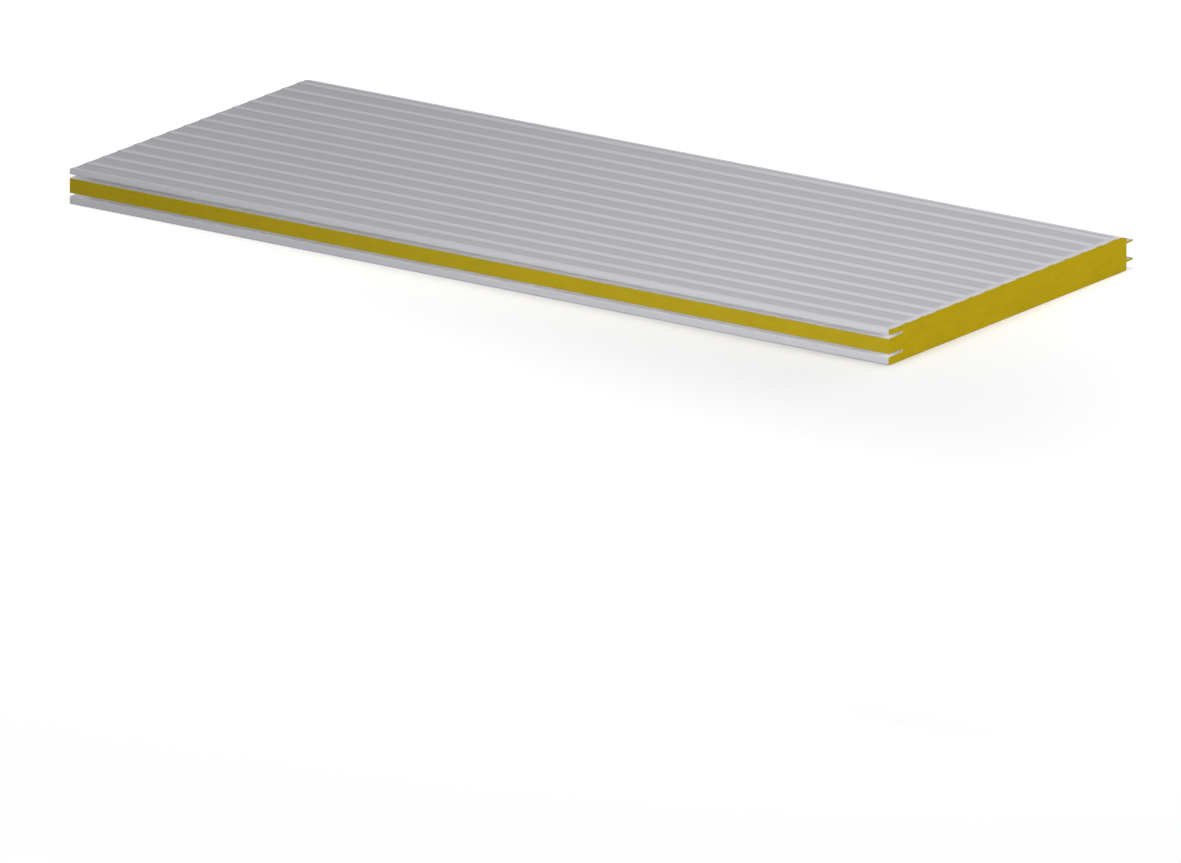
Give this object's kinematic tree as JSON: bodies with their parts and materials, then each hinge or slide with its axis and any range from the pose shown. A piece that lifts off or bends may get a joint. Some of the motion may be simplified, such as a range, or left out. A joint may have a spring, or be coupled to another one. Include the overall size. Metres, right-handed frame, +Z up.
{
  "type": "insulation panel",
  "caption": "Foam-core insulation panel with a ribbed painted steel face, a flat steel face, sheet-lined grooves on one long edge and matching tongues on the other.",
  "frame": {"origin": "middle of the underside, taken over the whole outline with the tongues", "axes": "+X along the panel's length, +Y across it from the grooved edge to the tongued edge, +Z up from the flat inner face to the ribbed outer face"},
  "size_m": [2.7, 1.15, 0.1],
  "materials": {
    "outer_facing": "satin grey-white coil coating",
    "foam_core": "matte closed-cell rigid foam",
    "inner_facing": "satin grey-white coil coating"
  },
  "bodies": {
    "root": {"outer_facing": "outer_facing", "foam_core": "foam_core", "inner_facing": "inner_facing"}
  },
  "joints": []
}
